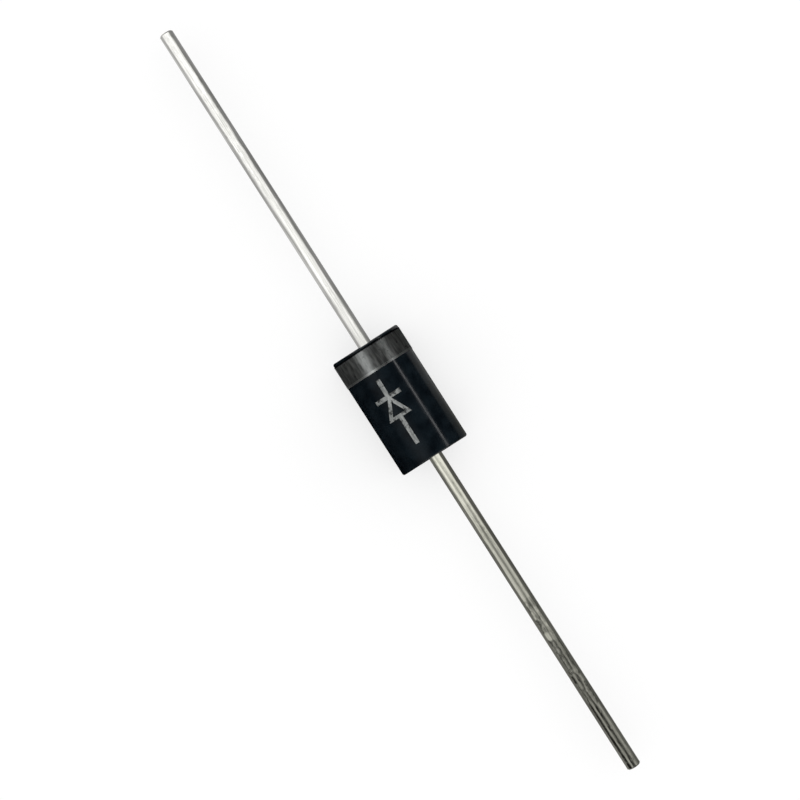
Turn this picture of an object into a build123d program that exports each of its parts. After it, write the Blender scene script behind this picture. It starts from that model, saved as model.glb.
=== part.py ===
from build123d import *
import math
import os

# A moulded axial rectifier diode, in millimetres.
# The lead axis is X, with the cathode at +X. The mould opened along Z, so its parting plane is z = 0,
# and the printed side of the body faces +Z. The origin is the middle of the body, on the lead axis.

# Moulded body
body_length = 9.0
body_diameter = 5.15
body_edge_radius = 0.12
end_draft_deg = 1.5  # each end face leans back from the parting plane, so that the body leaves the mould

# Marks of the mould: the fine ridge of flash along the parting plane, and the scar of the gate
ridge_height = 0.03
ridge_width = 0.08
gate_scar_length = 1.0
gate_scar_width = 0.36
gate_scar_corner = 0.12

# Cathode band, a film of ink printed round the body
band_width = 1.77
band_margin = 0.02  # from the rounded rim of the body to the ink
ink_thickness = 0.03

# Silicon chip, square, with its edge etched back to a slope on the anode side
chip_side = 1.6
chip_thickness = 0.28
mesa_depth = 0.08
mesa_slope_deg = 45.0  # from the chip's thickness direction

# Solder between each face of the chip and the head of its lead
solder_thickness = 0.06
solder_flare_deg = 30.0

# Leads, each one length of wire with a cold-formed head
wire_diameter = 1.0
lead_length = 25.4  # from the body's end to the tip
tip_chamfer = 0.08
head_margin = 0.17  # the head's radius beyond the corners of the chip
head_thickness = 0.5
head_rim_bevel = 0.1
neck_cone = 0.2

# Grip, where the wire is coined flat inside the body, so that it can neither turn nor pull out
grip_thickness = 0.62
grip_length = 0.8
grip_run_out = 0.4  # over which the round wire becomes the flat one
grip_cover = 0.1  # round wire between the grip and the body's end

# Silicone coating round the edge of the chip, over the rims of both heads
coating_bulge = 0.16

body_radius = body_diameter / 2
body_end = body_length / 2
end_lean = math.tan(math.radians(end_draft_deg))
band_end = body_end - body_radius * end_lean - body_edge_radius - band_margin

chip_face = chip_thickness / 2
chip_corner = chip_side / math.sqrt(2)
mesa_side = chip_side - 2 * mesa_depth * math.tan(math.radians(mesa_slope_deg))

wire_radius = wire_diameter / 2
lead_tip = body_end + lead_length
head_face = chip_face + solder_thickness
head_back = head_face + head_thickness
head_radius = chip_corner + head_margin

# Coining moves copper and removes none, so the flat stretch keeps the area of the round wire.
grip_width = grip_thickness + math.pi / 4 * (wire_diameter**2 - grip_thickness**2) / grip_thickness
grip_end = body_end - grip_cover
grip_start = grip_end - grip_length - 2 * grip_run_out


def across(x, facing=1):
    """A plane across the lead axis that faces the cathode, or the anode where facing is -1."""
    return Plane(origin=(x, 0, 0), x_dir=(0, 1, 0), z_dir=(facing, 0, 0))


def moulded_outside(skin=0.0):
    """The outside of the moulded body, or of an even skin all over it."""
    radius = body_radius + skin
    end = body_end + skin
    reach = radius + ridge_height
    lean = reach * end_lean
    barrel = extrude(across(-end) * Circle(radius), amount=2 * end)
    side = Plane.XZ * Polygon(
        (end, 0),
        (end - lean, reach),
        (lean - end, reach),
        (-end, 0),
        (lean - end, -reach),
        (end - lean, -reach),
        align=None,
    )
    body = barrel & extrude(side, amount=reach, both=True)
    rims = body.edges().filter_by(GeomType.LINE, reverse=True)
    body = fillet(rims, body_edge_radius)

    ridge_outline = RectangleRounded(
        2 * (end + ridge_height),
        2 * (radius + ridge_height),
        body_edge_radius + ridge_height,
    )
    ridge = extrude(ridge_outline, amount=ridge_width / 2 + skin, both=True)
    gate_outline = Plane.XZ * RectangleRounded(gate_scar_length, gate_scar_width, gate_scar_corner)
    gate_scar = extrude(gate_outline, amount=radius + ridge_height)
    return body + ridge + gate_scar


def cathode_band():
    """The film of ink, which follows the body's side and its ridge."""
    printed_zone = extrude(across(band_end - band_width) * Circle(body_diameter), amount=band_width)
    return (moulded_outside(ink_thickness) & printed_zone) - moulded_outside()


def headed_end():
    """The head that the chip is soldered to, with the round wire as far as the grip."""
    half_section = Plane.XZ * Polygon(
        (head_face, 0),
        (head_face, head_radius),
        (head_back, head_radius),
        (head_back, wire_radius),
        (grip_start, wire_radius),
        (grip_start, 0),
        align=None,
    )
    head = revolve(half_section, Axis.X)
    rims = head.edges().filter_by(GeomType.CIRCLE).sort_by(SortBy.RADIUS)[-2:]
    head = chamfer(rims, head_rim_bevel)
    neck = head.edges().filter_by(GeomType.CIRCLE).filter_by_position(Axis.X, head_back, head_back)
    return chamfer(neck.sort_by(SortBy.RADIUS)[0], neck_cone)


def coined_grip():
    """The flat stretch of the wire, with its run-outs to the round wire."""
    flat = SlotOverall(grip_width, grip_thickness)
    round_wire = Circle(wire_radius)
    flat_start = grip_start + grip_run_out
    flat_end = grip_end - grip_run_out
    run_in = loft([across(grip_start) * round_wire, across(flat_start) * flat])
    grip = extrude(across(flat_start) * flat, amount=grip_length)
    run_out = loft([across(flat_end) * flat, across(grip_end) * round_wire])
    return run_in + grip + run_out


def cathode_lead():
    """One piece of wire: head, grip and the long straight lead with its cropped tip."""
    straight = extrude(across(grip_end) * Circle(wire_radius), amount=lead_tip - grip_end)
    tip_edge = straight.edges().filter_by(GeomType.CIRCLE).sort_by(Axis.X)[-1]
    straight = chamfer(tip_edge, tip_chamfer)
    return headed_end() + coined_grip() + straight


def silicon_chip():
    """A square of wafer, sawn below and etched to a mesa on the anode side."""
    mesa_foot = mesa_depth - chip_face
    square = Rectangle(chip_side, chip_side)
    wafer = extrude(across(mesa_foot) * square, amount=chip_face - mesa_foot)
    mesa = extrude(across(mesa_foot, facing=-1) * square, amount=mesa_depth, taper=mesa_slope_deg)
    return wafer + mesa


def solder_pad(side, facing):
    """Solder on one face of the chip, which spreads as it wets the head."""
    square = across(facing * chip_face, facing) * Rectangle(side, side)
    return extrude(square, amount=solder_thickness, taper=-solder_flare_deg)


def coating_bead():
    """The bead of silicone over the gap between the heads, still without the room for what it covers."""
    reach = head_face + head_rim_bevel
    half_section = Polyline((reach, head_radius), (reach, 0), (-reach, 0), (-reach, head_radius))
    crown = (0, head_radius + coating_bulge)
    half_section += ThreePointArc((-reach, head_radius), crown, (reach, head_radius))
    return revolve(Plane.XZ * make_face(half_section), Axis.X)


parts = {}
parts["silicon_chip"] = silicon_chip()
parts["cathode_solder"] = solder_pad(chip_side, facing=1)
parts["anode_solder"] = solder_pad(mesa_side, facing=-1)
parts["cathode_lead"] = cathode_lead()
parts["anode_lead"] = mirror(parts["cathode_lead"], about=Plane.YZ)

# The coating runs into every gap of the soldered stack, and the body is moulded round all of it.
stack = list(parts.values())
bead = coating_bead()
parts["junction_coating"] = bead - stack
parts["epoxy_body"] = moulded_outside() - [bead, *stack]
parts["cathode_band"] = cathode_band()

os.makedirs("parts", exist_ok=True)
for name, part in parts.items():
    export_step(part, f"parts/{name}.step")
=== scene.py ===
import math

import bmesh
import bpy
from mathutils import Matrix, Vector


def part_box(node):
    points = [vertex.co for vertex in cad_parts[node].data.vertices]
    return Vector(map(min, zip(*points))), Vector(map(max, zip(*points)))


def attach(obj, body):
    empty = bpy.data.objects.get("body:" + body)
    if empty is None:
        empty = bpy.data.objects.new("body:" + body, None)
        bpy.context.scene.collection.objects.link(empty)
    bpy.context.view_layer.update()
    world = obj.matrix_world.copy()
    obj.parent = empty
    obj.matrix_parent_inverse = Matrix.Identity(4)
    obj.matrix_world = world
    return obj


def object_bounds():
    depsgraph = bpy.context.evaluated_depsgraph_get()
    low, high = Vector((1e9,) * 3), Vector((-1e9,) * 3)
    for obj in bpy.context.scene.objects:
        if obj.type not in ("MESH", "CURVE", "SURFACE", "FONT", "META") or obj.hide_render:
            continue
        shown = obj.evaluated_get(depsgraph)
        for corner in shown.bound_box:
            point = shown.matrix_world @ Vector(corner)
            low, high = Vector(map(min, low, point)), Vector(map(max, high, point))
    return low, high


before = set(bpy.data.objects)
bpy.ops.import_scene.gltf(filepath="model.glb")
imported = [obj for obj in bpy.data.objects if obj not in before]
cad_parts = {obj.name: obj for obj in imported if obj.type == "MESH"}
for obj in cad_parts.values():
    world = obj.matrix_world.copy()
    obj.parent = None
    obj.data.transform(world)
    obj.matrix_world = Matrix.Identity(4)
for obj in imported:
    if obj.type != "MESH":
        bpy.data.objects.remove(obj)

# A moulded axial rectifier diode, lying on a pale light table and seen from straight above.
# Everything is in metres. The lead axis is X, with the cathode at +X, and the printed side faces +Z.
MM = 0.001

cad_low, cad_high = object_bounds()
band_low, band_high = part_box("cathode_band")

body_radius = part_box("epoxy_body")[1].z
lead_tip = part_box("cathode_lead")[1].x
floor_height = cad_low.z

# The mark printed beside the band: the sign of a diode, whose bar faces the cathode
stroke = 0.3 * MM
triangle_border = 0.8 * stroke
mark_offset = 0.55 * MM  # from the top of the body, towards +Y
mark_cathode_end = 1.95 * MM
mark_anode_end = -3.1 * MM
bar_length = 1.9 * MM
triangle_point = 0.75 * MM
triangle_length = 1.75 * MM
triangle_width = 1.75 * MM
mark_lift = 0.003 * MM  # from the body to the underside of the ink
mark_thickness = 0.022 * MM
mark_cut = 0.09 * MM  # between the cuts that let the flat mark follow the round body
drum_sides = 360  # of the round drum that gives the flat mark its curve
near = 0.01 * MM  # within which a corner or an edge counts as being in its place
weld = 0.001 * MM  # within which two corners become one
smooth_angle = 30  # degrees, past which an edge stays sharp

# The part of a noise's range that a pattern uses: a wide one for roughness and a narrow one for colour
wide_range = {"From Min": 0.3, "From Max": 0.7}
narrow_range = {"From Min": 0.35, "From Max": 0.65}

# The ink lies thicker along the inner edge of the band, where its lighter colour is a painted highlight of
# that bead catching the light, and it fades out to the dark body beside the rim of the body. It is also worn
# in spots,
# where a noise is above a start: the lower that start is, the more is worn.
bead_highlight_width = 0.16 * MM
rim_fade = 0.14 * MM
band_wear_start = 0.62
mark_wear_start = 0.53
wear_edge = 0.08  # in that noise, from whole ink to the most worn
most_worn = 0.8  # the share of the dark body that shows through there

# From the middle of the body, where the wire starts to show small dents from the wheels that gripped it, and
# from where it has them all over
gripped_start = 15.0 * MM
gripped_full = 18.0 * MM
copper_depth = 0.012 * MM  # from the tip, within which the cropped face shows copper

# The tent of white cloth round the part, an arch along the leads
tent_radius = 250 * MM
tent_length = 520 * MM
tent_sides = 120
tent_light = 1.27
inner_share = 0.98  # of the tent's radius, for the arch that the leads mirror

# What the leads mirror, by the place along them that shows it, from the cathode to the anode: the share of
# the cloth's light from above, from both sides and through the opening for the camera, and the share by
# which it comes in patches
mirrored_light = 1.3
cathode_cloth = "#ffffff"
anode_cloth = "#fffff3"
tint_reach = 4 * MM  # on the cloth, to each side of the middle, where one tint turns into the other
mirrored_above = (
    (1.5 * MM, 1.0),
    (-1.5 * MM, 0.9),
    (-4.5 * MM, 0.72),
    (-9.0 * MM, 0.66),
    (-10.5 * MM, 0.5),
    (-17.0 * MM, 0.44),
    (-18.0 * MM, 0.15),
    (-31.0 * MM, 0.15),
    (-38.0 * MM, 0.75),
)
mirrored_left = (
    (1.5 * MM, 0.42),
    (-1.5 * MM, 0.13),
    (-17.0 * MM, 0.13),
    (-18.0 * MM, 0.07),
    (-31.0 * MM, 0.07),
    (-38.0 * MM, 0.4),
)
mirrored_right = (
    (1.5 * MM, 0.2),
    (-1.5 * MM, 0.09),
    (-17.0 * MM, 0.09),
    (-18.0 * MM, 0.08),
    (-31.0 * MM, 0.08),
    (-38.0 * MM, 0.3),
)
mirrored_opening = ((1.5 * MM, 0.95), (-1.5 * MM, 0.75), (-9.0 * MM, 0.66), (-10.5 * MM, 0.42))
mirrored_patches = ((-16.5 * MM, 0.15), (-18.0 * MM, 0.95), (-31.0 * MM, 0.95), (-38.0 * MM, 0.15))
left_fall = (46, 84)  # degrees from straight up, over which the light falls off towards +Y
right_fall = (34, 72)
opening_reach = 32  # degrees from straight up, over which the opening turns into cloth
patch_length = 8  # mm along the cloth, which shows up as spots of 3 mm on the leads
patch_across = 0.05  # of the scale along the cloth, so that each patch runs far over the arch
patch_range = {"From Min": 0.44, "From Max": 0.56}

card_reach = 230 * MM
near_card = 14 * MM  # the strip of floor that the right flank of the body mirrors
card_lift = 0.01 * MM  # from the floor

# The lamps, which hang inside the tent. Each angle is from straight up towards -Y, and each reach is to each
# side of it, both in degrees.
lamp_height = 150 * MM
lamp_step = 0.1 * MM  # lower for each degree of reach
lamp_length = 240 * MM
line_angle = 50  # of the bright line along the body and the band
body_line_reach = 2
body_line_light = 3.2
band_line_reach = 1.5
band_line_light = 1.9
body_gloss_angle = -33
body_gloss_reaches = (8, 16, 24, 32)  # one inside the other, for a gloss that fades outwards
body_gloss_light = 0.045
band_gloss_angle = -27
band_gloss_reaches = (7, 13)
band_gloss_light = 0.5
mark_angle = -24
mark_reach = 42
mark_light = 0.62
fill_reach = 48
fill_light = 1.0
world_light = 0.3  # the share of white that falls on the part from all round

# The light table
table_half = 237 * MM
table_glow = 0.64  # the share of its light that comes from below, beside the part
glow_start = 60 * MM
glow_end = 200 * MM

# The camera
camera_lens = 100.0
camera_sensor = 36.0
picture_width = 55.0 * MM
camera_height = picture_width * camera_lens / camera_sensor
lead_angle = 57.4  # degrees from the picture's horizontal to the leads, with the cathode at the upper left


def linear(colour):
    """The linear colour of an sRGB hex value."""
    parts = [int(colour[i:i + 2], 16) / 255 for i in (1, 3, 5)]
    return [c / 12.92 if c <= 0.04045 else ((c + 0.055) / 1.055) ** 2.4 for c in parts] + [1.0]


def per_mm(size):
    """The texture scale at which one feature is size millimetres wide."""
    return 1 / (size * MM)


def add(tree, kind, sockets=None, links=None, **settings):
    """A new node with its settings, the values of its sockets and the links that come into it."""
    node = tree.nodes.new(kind)
    for name, value in settings.items():
        setattr(node, name, value)
    for socket, value in (sockets or {}).items():
        node.inputs[socket].default_value = value
    for socket, source in (links or {}).items():
        tree.links.new(source, node.inputs[socket])
    return node


def empty_material(name):
    """A material whose tree has no nodes yet, and that tree."""
    material = bpy.data.materials.new(name)
    material.use_nodes = True
    material.node_tree.nodes.clear()
    return material, material.node_tree


def new_material(name):
    """A material with its tree, its shader and the object's own coordinates."""
    material, tree = empty_material(name)
    shader = add(tree, "ShaderNodeBsdfPrincipled")
    add(tree, "ShaderNodeOutputMaterial", links={"Surface": shader.outputs["BSDF"]})
    place = add(tree, "ShaderNodeTexCoord").outputs["Object"]
    return material, tree, shader, place


def moulded_epoxy():
    """Black epoxy, transfer moulded in a polished steel mould: a cool near-black, smooth and glossy, with
    faint clouds where its filler lies unevenly."""
    material, tree, shader, place = new_material("moulded_black_epoxy")
    clouds = add(tree, "ShaderNodeTexNoise", {"Scale": per_mm(0.9), "Detail": 4.0}, {"Vector": place})
    grain = add(tree, "ShaderNodeTexNoise", {"Scale": per_mm(0.14), "Detail": 3.0}, {"Vector": place})
    shade = add(tree, "ShaderNodeMapRange", narrow_range, {"Value": clouds.outputs["Fac"]})
    colour = add(tree, "ShaderNodeMix", links={"Factor": shade.outputs["Result"]}, data_type="RGBA")
    colour.inputs["A"].default_value = linear("#0c1217")
    colour.inputs["B"].default_value = linear("#161f25")
    roughness = add(
        tree,
        "ShaderNodeMapRange",
        {**wide_range, "To Min": 0.13, "To Max": 0.21},
        {"Value": clouds.outputs["Fac"]},
    )
    bump = add(
        tree,
        "ShaderNodeBump",
        {"Strength": 0.5, "Distance": 0.0015 * MM},
        {"Height": grain.outputs["Fac"]},
    )
    tree.links.new(colour.outputs["Result"], shader.inputs["Base Color"])
    tree.links.new(roughness.outputs["Result"], shader.inputs["Roughness"])
    tree.links.new(bump.outputs["Normal"], shader.inputs["Normal"])
    shader.inputs["IOR"].default_value = 1.5
    return material


def whole_ink(tree, x, streaks):
    """The colour of the ink where it is whole: streaked, and with a painted highlight along the thick bead at
    the inner edge of the band.
    """
    cover = add(tree, "ShaderNodeMapRange", narrow_range, {"Value": streaks.outputs["Fac"]})
    ink = add(tree, "ShaderNodeMix", links={"Factor": cover.outputs["Result"]}, data_type="RGBA")
    ink.inputs["A"].default_value = linear("#909392")
    ink.inputs["B"].default_value = linear("#c4c7c5")
    # A lighter ink colour along the inner edge of the band: a painted highlight of the thick ink bead
    # catching the light
    bead_highlight = add(
        tree,
        "ShaderNodeMath",
        {1: band_low.x + bead_highlight_width / 2, 2: bead_highlight_width / 2},
        {0: x},
        operation="COMPARE",
    )
    highlit_ink = add(
        tree,
        "ShaderNodeMix",
        links={"Factor": bead_highlight.outputs["Value"], "A": ink.outputs["Result"]},
        data_type="RGBA",
    )
    # The colour of the painted highlight along the bead
    highlit_ink.inputs["B"].default_value = linear("#dcdfdd")
    return highlit_ink.outputs["Result"]


def worn_share(tree, place, x, wear_start):
    """The share of the ink that is worn away in spots, and that fades out beside the rim of the body."""
    wear = add(
        tree,
        "ShaderNodeTexNoise",
        {"Scale": per_mm(0.3), "Detail": 5.0, "Roughness": 0.6},
        {"Vector": place},
    )
    spots = add(
        tree,
        "ShaderNodeMapRange",
        {"From Min": wear_start, "From Max": wear_start + wear_edge, "To Max": most_worn},
        {"Value": wear.outputs["Fac"]},
    )
    # Beside the rim of the body the ink fades out to the dark body
    rim = add(
        tree,
        "ShaderNodeMapRange",
        {"From Min": band_high.x - rim_fade, "From Max": band_high.x - rim_fade / 2},
        {"Value": x},
    )
    worn = add(
        tree,
        "ShaderNodeMath",
        links={0: spots.outputs["Result"], 1: rim.outputs["Result"]},
        operation="MAXIMUM",
    )
    return worn.outputs["Value"]


def marking_ink(name, wear_start):
    """Silver-grey marking ink, printed thin: a dull metal sheen with streaks along the leads, worn through to
    the dark body in spots, which grow as wear_start comes down."""
    material, tree, shader, place = new_material(name)
    x = add(tree, "ShaderNodeSeparateXYZ", links={"Vector": place}).outputs["X"]
    along = add(tree, "ShaderNodeMapping", {"Scale": (0.2, 1.0, 1.0)}, {"Vector": place})
    streaks = add(
        tree,
        "ShaderNodeTexNoise",
        {"Scale": per_mm(0.16), "Detail": 3.0},
        {"Vector": along.outputs["Vector"]},
    )
    colour = add(
        tree,
        "ShaderNodeMix",
        links={"Factor": worn_share(tree, place, x, wear_start), "A": whole_ink(tree, x, streaks)},
        data_type="RGBA",
    )
    colour.inputs["B"].default_value = linear("#0c1012")
    roughness = add(
        tree,
        "ShaderNodeMapRange",
        {**wide_range, "To Min": 0.28, "To Max": 0.4},
        {"Value": streaks.outputs["Fac"]},
    )
    bump = add(
        tree,
        "ShaderNodeBump",
        {"Strength": 0.6, "Distance": 0.003 * MM},
        {"Height": streaks.outputs["Fac"]},
    )
    tree.links.new(colour.outputs["Result"], shader.inputs["Base Color"])
    tree.links.new(roughness.outputs["Result"], shader.inputs["Roughness"])
    tree.links.new(bump.outputs["Normal"], shader.inputs["Normal"])
    shader.inputs["Metallic"].default_value = 0.95
    return material


def tin_and_copper(tree, lines, reach):
    """The colour of the wire: tin with fine lines of drawing, and copper on the cropped faces."""
    shine = add(tree, "ShaderNodeMapRange", narrow_range, {"Value": lines.outputs["Fac"]})
    tin = add(tree, "ShaderNodeMix", links={"Factor": shine.outputs["Result"]}, data_type="RGBA")
    tin.inputs["A"].default_value = linear("#cfcfca")
    tin.inputs["B"].default_value = linear("#ebeae7")
    cropped = add(
        tree,
        "ShaderNodeMapRange",
        {"From Min": lead_tip - copper_depth, "From Max": lead_tip - copper_depth / 2},
        {"Value": reach},
    )
    colour = add(
        tree,
        "ShaderNodeMix",
        links={"Factor": cropped.outputs["Result"], "A": tin.outputs["Result"]},
        data_type="RGBA",
    )
    colour.inputs["B"].default_value = linear("#c98a6b")
    return colour.outputs["Result"]


def drawn_and_dented(tree, place, lines, dents, reach):
    """The normal of the wire: lines of drawing, shallow dents all along, and deeper ones where it was
    gripped."""
    drawn = add(
        tree,
        "ShaderNodeBump",
        {"Strength": 0.8, "Distance": 0.006 * MM},
        {"Height": lines.outputs["Fac"]},
    )
    dented = add(
        tree,
        "ShaderNodeBump",
        {"Strength": 1.0, "Distance": 0.012 * MM},
        {"Height": dents.outputs["Fac"], "Normal": drawn.outputs["Normal"]},
    )
    pressing = add(tree, "ShaderNodeTexNoise", {"Scale": per_mm(1.1), "Detail": 0.5}, {"Vector": place})
    gripped = add(
        tree,
        "ShaderNodeMapRange",
        {"From Min": gripped_start, "From Max": gripped_full},
        {"Value": reach},
    )
    pressed = add(
        tree,
        "ShaderNodeBump",
        {"Distance": 0.045 * MM},
        {
            "Height": pressing.outputs["Fac"],
            "Strength": gripped.outputs["Result"],
            "Normal": dented.outputs["Normal"],
        },
    )
    return pressed.outputs["Normal"]


def tinned_copper():
    """Copper wire with a coat of bright tin: a mirror with fine drawn lines, a little wavy from small dents,
    more so towards the tips, whose cropped faces show copper."""
    material, tree, shader, place = new_material("tinned_copper_wire")
    x = add(tree, "ShaderNodeSeparateXYZ", links={"Vector": place}).outputs["X"]
    reach = add(tree, "ShaderNodeMath", links={0: x}, operation="ABSOLUTE").outputs["Value"]
    along = add(tree, "ShaderNodeMapping", {"Scale": (0.04, 1.0, 1.0)}, {"Vector": place})
    lines = add(
        tree,
        "ShaderNodeTexNoise",
        {"Scale": per_mm(0.12), "Detail": 3.0},
        {"Vector": along.outputs["Vector"]},
    )
    dent_place = add(tree, "ShaderNodeMapping", {"Scale": (0.3, 1.0, 1.0)}, {"Vector": place})
    dents = add(
        tree,
        "ShaderNodeTexNoise",
        {"Scale": per_mm(0.35), "Detail": 2.0},
        {"Vector": dent_place.outputs["Vector"]},
    )
    roughness = add(
        tree,
        "ShaderNodeMapRange",
        {**wide_range, "To Min": 0.05, "To Max": 0.1},
        {"Value": dents.outputs["Fac"]},
    )
    tree.links.new(tin_and_copper(tree, lines, reach), shader.inputs["Base Color"])
    tree.links.new(roughness.outputs["Result"], shader.inputs["Roughness"])
    tree.links.new(drawn_and_dented(tree, place, lines, dents, reach), shader.inputs["Normal"])
    shader.inputs["Metallic"].default_value = 1.0
    return material


def lapped_silicon():
    """Silicon with a lapped face: dark blue-grey and half shiny, with the fine scratches of lapping."""
    material, tree, shader, place = new_material("lapped_silicon")
    scratches = add(
        tree,
        "ShaderNodeTexNoise",
        {"Scale": per_mm(0.05), "Detail": 4.0, "Distortion": 1.5},
        {"Vector": place},
    )
    colour = add(tree, "ShaderNodeMix", links={"Factor": scratches.outputs["Fac"]}, data_type="RGBA")
    colour.inputs["A"].default_value = linear("#4a4f57")
    colour.inputs["B"].default_value = linear("#6a7079")
    tree.links.new(colour.outputs["Result"], shader.inputs["Base Color"])
    shader.inputs["Metallic"].default_value = 0.6
    shader.inputs["Roughness"].default_value = 0.3
    return material


def set_solder():
    """Solder that has flowed and set: a dull silver with fine darker grains."""
    material, tree, shader, place = new_material("lead_tin_solder")
    grains = add(tree, "ShaderNodeTexVoronoi", {"Scale": per_mm(0.12)}, {"Vector": place})
    colour = add(tree, "ShaderNodeMix", links={"Factor": grains.outputs["Distance"]}, data_type="RGBA")
    colour.inputs["A"].default_value = linear("#b9b9b6")
    colour.inputs["B"].default_value = linear("#8c8d8b")
    tree.links.new(colour.outputs["Result"], shader.inputs["Base Color"])
    shader.inputs["Metallic"].default_value = 1.0
    shader.inputs["Roughness"].default_value = 0.38
    return material


def silicone_bead():
    """White silicone, cured over the junction: a milky rubber with a satin skin."""
    material, tree, shader, place = new_material("white_silicone_coating")
    clouds = add(tree, "ShaderNodeTexNoise", {"Scale": per_mm(0.5), "Detail": 2.0}, {"Vector": place})
    colour = add(tree, "ShaderNodeMix", links={"Factor": clouds.outputs["Fac"]}, data_type="RGBA")
    colour.inputs["A"].default_value = linear("#d9d7d0")
    colour.inputs["B"].default_value = linear("#e8e6df")
    tree.links.new(colour.outputs["Result"], shader.inputs["Base Color"])
    shader.inputs["Roughness"].default_value = 0.45
    shader.inputs["IOR"].default_value = 1.41
    return material


def only(piece):
    """Select this object alone and make it the active one."""
    bpy.ops.object.select_all(action="DESELECT")
    piece.select_set(True)
    bpy.context.view_layer.objects.active = piece


def pick(piece, test, kind="verts"):
    """In edit mode, select just the corners, edges or faces whose middle passes the test."""
    mesh = bmesh.from_edit_mesh(piece.data)
    for group in (mesh.verts, mesh.edges, mesh.faces):
        for item in group:
            item.select = False
    for item in getattr(mesh, kind):
        corners = [item] if kind == "verts" else item.verts
        middle = sum((corner.co for corner in corners), Vector()) / len(corners)
        if test(middle):
            item.select_set(True)
    mesh.select_flush_mode()
    bmesh.update_edit_mesh(piece.data)


def pick_edge_at(piece, x, y):
    """In edit mode, select just the edge whose middle is here, seen from above."""
    pick(piece, lambda middle: abs(middle.x - x) < near and abs(middle.y - y) < near, "edges")


def push_edges(x, y):
    """Extrude the picked edges and move the new ones by this much."""
    bpy.ops.mesh.extrude_edges_move(TRANSFORM_OT_translate={"value": (x, y, 0)})


def open_triangle():
    """The flat border of the sign's triangle, with its point towards the cathode, left in edit mode."""
    bpy.ops.object.select_all(action="DESELECT")
    bpy.ops.mesh.primitive_circle_add(
        vertices=3,
        radius=1.0,
        fill_type="NGON",
        rotation=(0, 0, -math.pi / 2),
    )
    mark = bpy.context.object
    mark.name = "printed_mark"
    bpy.ops.object.transform_apply(location=False, rotation=True, scale=False)
    low = min(corner.co.x for corner in mark.data.vertices)
    high = max(corner.co.x for corner in mark.data.vertices)
    width = 2 * max(corner.co.y for corner in mark.data.vertices)
    mark.scale = (triangle_length / (high - low), triangle_width / width, 1)
    mark.location = (triangle_point - high * mark.scale.x, 0, 0)
    bpy.ops.object.transform_apply(location=True, rotation=False, scale=True)
    bpy.ops.object.mode_set(mode="EDIT")
    bpy.ops.mesh.select_all(action="SELECT")
    bpy.ops.mesh.inset(thickness=triangle_border)
    bpy.ops.mesh.delete(type="FACE")
    return mark


def flat_mark():
    """The flat outline of the sign: two lines, a bar and an open triangle between them."""
    mark = open_triangle()

    # The anode line leaves the middle third of the triangle's base, which is first made as wide as a stroke.
    base = triangle_point - triangle_length
    base_third = triangle_width / 3
    pick_edge_at(mark, base, 0)
    bpy.ops.mesh.subdivide(number_cuts=2)
    pick(mark, lambda place: abs(place.x - base) < near and abs(place.y) < base_third / 2 + near)
    bpy.ops.transform.resize(value=(1, stroke / base_third, 1), center_override=(base, 0, 0))
    pick_edge_at(mark, base, 0)
    push_edges(mark_anode_end - base, 0)

    # The triangle's point is cut off as wide as a stroke, and the bar and the cathode line grow from it.
    pick(mark, lambda place: place.x > triangle_point - near)
    slope = triangle_length / (triangle_width / 2)
    side = math.hypot(1, slope) * stroke / 2
    bpy.ops.mesh.bevel(affect="VERTICES", offset=side, offset_type="OFFSET", segments=1)
    bar_start = triangle_point - slope * stroke / 2
    pick_edge_at(mark, bar_start, 0)
    push_edges(stroke, 0)
    for way in (-1, 1):
        pick_edge_at(mark, bar_start + stroke / 2, way * stroke / 2)
        push_edges(0, way * (bar_length - stroke) / 2)
    pick_edge_at(mark, bar_start + stroke, 0)
    push_edges(mark_cathode_end - bar_start - stroke, 0)
    bpy.ops.object.mode_set(mode="OBJECT")
    return mark


def cut_along_the_leads(mark):
    """Cut the flat mark into narrow strips along the leads, and set it above the body."""
    bpy.ops.object.mode_set(mode="EDIT")
    for i in range(int(bar_length / mark_cut)):
        bpy.ops.mesh.select_all(action="SELECT")
        cut_at = (i + 0.5) * mark_cut - bar_length / 2
        bpy.ops.mesh.bisect(plane_co=(0, cut_at, 0), plane_no=(0, 1, 0))
    bpy.ops.mesh.select_all(action="SELECT")
    bpy.ops.mesh.remove_doubles(threshold=weld)
    bpy.ops.mesh.normals_make_consistent(inside=False)
    bpy.ops.object.mode_set(mode="OBJECT")
    mark.location = (0, mark_offset, 2 * body_radius)
    bpy.ops.object.transform_apply(location=True, rotation=False, scale=False)


def lay_on_the_body(mark):
    """Drop the flat mark onto a fine round drum, a little larger than the body."""
    bpy.ops.object.select_all(action="DESELECT")
    bpy.ops.mesh.primitive_cylinder_add(
        vertices=drum_sides,
        radius=body_radius + mark_lift,
        depth=4 * body_radius,
        rotation=(0, math.pi / 2, 0),
    )
    drum = bpy.context.object
    only(mark)
    wrap = mark.modifiers.new("wrap", "SHRINKWRAP")
    wrap.target = drum
    wrap.wrap_method = "PROJECT"
    wrap.use_project_z = True
    wrap.use_negative_direction = True
    wrap.use_positive_direction = False
    bpy.ops.object.modifier_apply(modifier=wrap.name)
    bpy.data.objects.remove(drum)


def printed_mark(finish):
    """The sign of a diode, printed as a film of ink that follows the round body."""
    mark = flat_mark()
    cut_along_the_leads(mark)
    lay_on_the_body(mark)
    film = mark.modifiers.new("film", "SOLIDIFY")
    film.thickness = mark_thickness
    film.offset = 1.0 if mark.data.polygons[0].normal.z > 0 else -1.0
    bpy.ops.object.modifier_apply(modifier=film.name)
    only(mark)
    bpy.ops.object.mode_set(mode="EDIT")
    bpy.ops.mesh.select_all(action="SELECT")
    bpy.ops.mesh.normals_make_consistent(inside=False)
    bpy.ops.object.mode_set(mode="OBJECT")
    bpy.ops.object.shade_smooth_by_angle(angle=math.radians(smooth_angle))
    mark.data.materials.append(finish)
    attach(mark, "root")
    return mark


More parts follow.
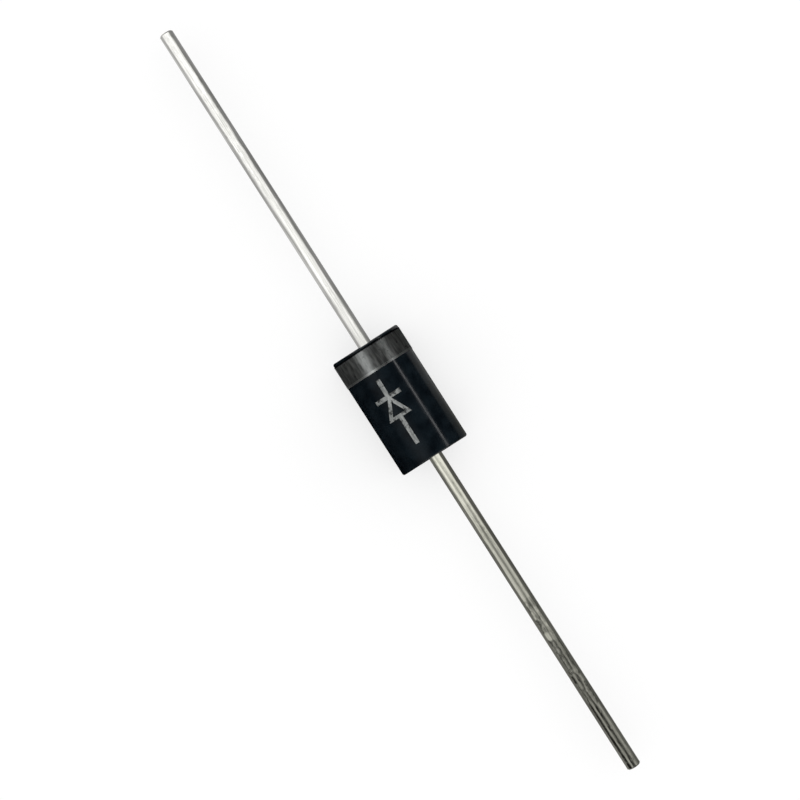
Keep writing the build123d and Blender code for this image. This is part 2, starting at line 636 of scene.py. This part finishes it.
def shining(name, light):
    """A stage material that shines evenly, with its tree and its shader."""
    material, tree = empty_material(name)
    shader = add(tree, "ShaderNodeEmission", {"Color": linear("#ffffff"), "Strength": light})
    add(tree, "ShaderNodeOutputMaterial", links={"Surface": shader.outputs["Emission"]})
    return material, tree, shader


def by_place(tree, x, points):
    """A value that changes along the leads, with the value at each place that shows it."""
    # A lead mirrors the cloth that stands this many times farther along than the place that shows it.
    stretch = 1 + inner_share * tent_radius / camera_height
    first, last = points[0][0], points[-1][0]
    along = add(
        tree,
        "ShaderNodeMapRange",
        {"From Min": last * stretch, "From Max": first * stretch},
        {"Value": x},
    )
    curve = add(tree, "ShaderNodeFloatCurve", links={"Value": along.outputs["Result"]})
    marks = curve.mapping.curves[0].points
    marks[0].location = (0, points[-1][1])
    marks[1].location = (1, points[0][1])
    for place, value in points[1:-1]:
        marks.new((place - last) / (first - last), value)
    for point in marks:
        point.handle_type = "VECTOR"
    curve.mapping.update()
    return curve.outputs["Value"]


def light_from_round(tree, x, lean):
    """The share of light from the cloth above the leads, which falls off low on both sides."""
    light = by_place(tree, x, mirrored_above)
    for way, shown, fall in ((1, mirrored_left, left_fall), (-1, mirrored_right, right_fall)):
        side = add(
            tree,
            "ShaderNodeMapRange",
            {
                "From Min": way * math.radians(fall[0]),
                "From Max": way * math.radians(fall[1]),
                "To Min": 1.0,
            },
            {"Value": lean, "To Max": by_place(tree, x, shown)},
            interpolation_type="SMOOTHSTEP",
        )
        lower = add(
            tree,
            "ShaderNodeMath",
            links={0: light, 1: side.outputs["Result"]},
            operation="MINIMUM",
        )
        light = lower.outputs["Value"]
    return light


def opening_share(tree, x, lean):
    """The share of light that is left at the opening for the camera, straight above."""
    across = add(tree, "ShaderNodeMath", links={0: lean}, operation="ABSOLUTE")
    opening = add(
        tree,
        "ShaderNodeMapRange",
        {"From Min": 0.0, "From Max": math.radians(opening_reach), "To Max": 1.0},
        {"Value": across.outputs["Value"], "To Min": by_place(tree, x, mirrored_opening)},
        interpolation_type="SMOOTHSTEP",
    )
    return opening.outputs["Result"]


def patchy_share(tree, place, x):
    """The share of light that the patches leave or add."""
    patch_place = add(
        tree,
        "ShaderNodeMapping",
        {"Scale": (1.0, patch_across, patch_across)},
        {"Vector": place},
    )
    patches = add(
        tree,
        "ShaderNodeTexNoise",
        {"Scale": per_mm(patch_length), "Detail": 3.0},
        {"Vector": patch_place.outputs["Vector"]},
    )
    uneven = add(
        tree,
        "ShaderNodeMapRange",
        {**patch_range, "To Min": -1.0, "To Max": 1.0},
        {"Value": patches.outputs["Fac"]},
    )
    patchy = add(
        tree,
        "ShaderNodeMath",
        {2: 1.0},
        {0: uneven.outputs["Result"], 1: by_place(tree, x, mirrored_patches)},
        operation="MULTIPLY_ADD",
    )
    return patchy.outputs["Value"]


def cloth_tint(tree, x):
    """The tint of the cloth: white over the cathode lead and warmer over the anode lead."""
    warmth = add(tree, "ShaderNodeMapRange", {"From Min": tint_reach, "From Max": -tint_reach}, {"Value": x})
    tint = add(tree, "ShaderNodeMix", links={"Factor": warmth.outputs["Result"]}, data_type="RGBA")
    tint.inputs["A"].default_value = linear(cathode_cloth)
    tint.inputs["B"].default_value = linear(anode_cloth)
    return tint.outputs["Result"]


def mirrored_cloth():
    """The cloth that the leads mirror: bright above, and dimmer low on both sides, at the opening for the
    camera and towards the end of the anode lead, where it also turns patchy."""
    material, tree, shader = shining("mirrored_cloth", mirrored_light)
    place = add(tree, "ShaderNodeTexCoord").outputs["Object"]
    parts = add(tree, "ShaderNodeSeparateXYZ", links={"Vector": place})
    x = parts.outputs["X"]
    angle = add(
        tree,
        "ShaderNodeMath",
        links={0: parts.outputs["Y"], 1: parts.outputs["Z"]},
        operation="ARCTAN2",
    )
    lean = angle.outputs["Value"]
    light = light_from_round(tree, x, lean)
    for share in (opening_share(tree, x, lean), patchy_share(tree, place, x)):
        less = add(tree, "ShaderNodeMath", links={0: light, 1: share}, operation="MULTIPLY")
        light = less.outputs["Value"]
    strength = add(tree, "ShaderNodeMath", {1: mirrored_light}, {0: light}, operation="MULTIPLY")
    tree.links.new(cloth_tint(tree, x), shader.inputs["Color"])
    tree.links.new(strength.outputs["Value"], shader.inputs["Strength"])
    return material


def light_only(light, pieces):
    """Keep a lamp or a shining cloth to these pieces."""
    lit = bpy.data.collections.new("lit_by_" + light.name)
    for piece in pieces:
        lit.objects.link(piece)
    light.light_linking.receiver_collection = lit


def arch(name, radius, finish):
    """An arch of cloth along the leads, down to the floor on both sides."""
    bpy.ops.object.select_all(action="DESELECT")
    bpy.ops.mesh.primitive_cylinder_add(
        vertices=tent_sides,
        radius=radius,
        depth=tent_length,
        end_fill_type="NOTHING",
        rotation=(0, math.pi / 2, 0),
    )
    tent = bpy.context.object
    tent.name = name
    bpy.ops.object.transform_apply(location=True, rotation=True, scale=True)
    bpy.ops.object.mode_set(mode="EDIT")
    bpy.ops.mesh.select_all(action="SELECT")
    bpy.ops.mesh.bisect(plane_co=(0, 0, floor_height), plane_no=(0, 0, 1), clear_inner=True)
    bpy.ops.object.mode_set(mode="OBJECT")
    tent.data.materials.append(finish)
    tent.visible_camera = False
    tent.visible_shadow = False
    return tent


def floor_card(name, finish, start, end):
    """A card flat on the floor from start to end across the leads, which only reflections see."""
    bpy.ops.object.select_all(action="DESELECT")
    bpy.ops.mesh.primitive_plane_add(size=1, location=(0, (start + end) / 2, floor_height + card_lift))
    card = bpy.context.object
    card.name = name
    card.scale = (2 * card_reach, end - start, 1)
    bpy.ops.object.transform_apply(location=True, rotation=True, scale=True)
    card.data.materials.append(finish)
    card.visible_camera = False
    card.visible_diffuse = False
    card.visible_transmission = False
    card.visible_shadow = False
    return card


def white_sheet():
    """A matte white sheet that also glows from below, more so towards its edges, where it is all white."""
    material, tree = empty_material("matte_white_sheet")
    sheet = add(tree, "ShaderNodeBsdfDiffuse", {"Color": linear("#fafafa")})
    glow = add(tree, "ShaderNodeEmission", {"Color": linear("#ffffff"), "Strength": 1.0})
    place = add(tree, "ShaderNodeTexCoord").outputs["Object"]
    distance = add(tree, "ShaderNodeVectorMath", links={0: place}, operation="LENGTH")
    share = add(
        tree,
        "ShaderNodeMapRange",
        {"From Min": glow_start, "From Max": glow_end, "To Min": table_glow, "To Max": 1.0},
        {"Value": distance.outputs["Value"]},
        interpolation_type="SMOOTHSTEP",
    )
    lit = add(
        tree,
        "ShaderNodeMixShader",
        links={"Fac": share.outputs["Result"], 1: sheet.outputs["BSDF"], 2: glow.outputs["Emission"]},
    )
    add(tree, "ShaderNodeOutputMaterial", links={"Surface": lit.outputs["Shader"]})
    return material


def light_table():
    """The table that the part lies on."""
    bpy.ops.object.select_all(action="DESELECT")
    bpy.ops.mesh.primitive_plane_add(size=2 * table_half, location=(0, 0, floor_height))
    table = bpy.context.object
    table.name = "light_table"
    bpy.ops.object.transform_apply(location=True, rotation=True, scale=True)
    table.data.materials.append(white_sheet())
    return table


def strip_lamp(name, angle, reach, light):
    """A soft lamp along the leads, angle degrees from straight up towards -Y and reach degrees to each side.
    The wider it is, the nearer it hangs, so that no two lamps lie in one plane."""
    height = lamp_height - reach * lamp_step
    width = 2 * height * math.tan(math.radians(reach))
    data = bpy.data.lights.new(name, "AREA")
    data.shape = "RECTANGLE"
    data.size = lamp_length
    data.size_y = width
    data.energy = light * math.pi * lamp_length * width
    lamp = bpy.data.objects.new(name, data)
    bpy.context.scene.collection.objects.link(lamp)
    lean = math.radians(angle)
    lamp.location = (0, -height * math.sin(lean), height * math.cos(lean))
    lamp.rotation_euler = (lean, 0, 0)
    lamp.visible_camera = False
    return lamp


def white_world():
    """White all round for the camera and for reflections, and dim for the light that falls on the part."""
    world = bpy.data.worlds.new("studio")
    world.use_nodes = True
    bpy.context.scene.world = world
    tree = world.node_tree
    tree.nodes.clear()
    path = add(tree, "ShaderNodeLightPath")
    seen = path.outputs["Is Camera Ray"]
    for ray in ("Is Glossy Ray", "Is Transmission Ray"):
        either = add(tree, "ShaderNodeMath", links={0: seen, 1: path.outputs[ray]}, operation="MAXIMUM")
        seen = either.outputs["Value"]
    strength = add(tree, "ShaderNodeMapRange", {"To Min": world_light, "To Max": 1.0}, {"Value": seen})
    background = add(
        tree,
        "ShaderNodeBackground",
        {"Color": linear("#ffffff")},
        {"Strength": strength.outputs["Result"]},
    )
    add(tree, "ShaderNodeOutputWorld", links={"Surface": background.outputs["Background"]})


def camera_above():
    """The camera straight above the middle of the body, turned as in the photograph."""
    data = bpy.data.cameras.new("camera_above")
    data.lens = camera_lens
    data.sensor_width = camera_sensor
    data.clip_start = 1 * MM
    data.clip_end = 10.0
    camera = bpy.data.objects.new("camera_above", data)
    bpy.context.scene.collection.objects.link(camera)
    camera.location = (0, 0, camera_height)
    camera.rotation_euler = (0, 0, math.radians(lead_angle - 180))
    bpy.context.scene.camera = camera


# The finishes of the pieces
tin = tinned_copper()
ink = marking_ink("silver_marking_ink", band_wear_start)
solder = set_solder()
finishes = {
    "epoxy_body": moulded_epoxy(),
    "cathode_band": ink,
    "cathode_lead": tin,
    "anode_lead": tin,
    "silicon_chip": lapped_silicon(),
    "cathode_solder": solder,
    "anode_solder": solder,
    "junction_coating": silicone_bead(),
}
for name, material in finishes.items():
    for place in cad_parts[name].material_slots:
        place.material = material
mark = printed_mark(marking_ink("thin_marking_ink", mark_wear_start))

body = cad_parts["epoxy_body"]
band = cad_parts["cathode_band"]
leads = [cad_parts["cathode_lead"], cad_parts["anode_lead"]]

# The table and the tent, with an inner arch and cards for the leads to mirror
table = light_table()
white_cloth = shining("white_cloth", tent_light)[0]
light_only(arch("light_tent", tent_radius, white_cloth), [table])
cloth = mirrored_cloth()
mirrored_tent = arch("mirrored_tent", inner_share * tent_radius, cloth)
mirrored_tent.visible_diffuse = False
light_only(mirrored_tent, leads)
light_only(floor_card("left_card", cloth, 0, card_reach), leads)
light_only(floor_card("near_right_card", cloth, -near_card, 0), leads + [body])
light_only(floor_card("far_right_card", cloth, -card_reach, -near_card), leads)

# The lamps
light_only(strip_lamp("line_lamp", line_angle, body_line_reach, body_line_light), [body])
light_only(strip_lamp("band_line_lamp", line_angle, band_line_reach, band_line_light), [band])
for reach in body_gloss_reaches:
    light_only(strip_lamp("soft_lamp", body_gloss_angle, reach, body_gloss_light), [body])
for reach in band_gloss_reaches:
    light_only(strip_lamp("band_lamp", band_gloss_angle, reach, band_gloss_light), [band])
light_only(strip_lamp("mark_lamp", mark_angle, mark_reach, mark_light), [mark])
fill_lamp = strip_lamp("fill_lamp", 0, fill_reach, fill_light)
fill_lamp.visible_glossy = False
light_only(fill_lamp, [body, band, mark])
white_world()
camera_above()
bpy.context.scene.view_settings.view_transform = "Standard"
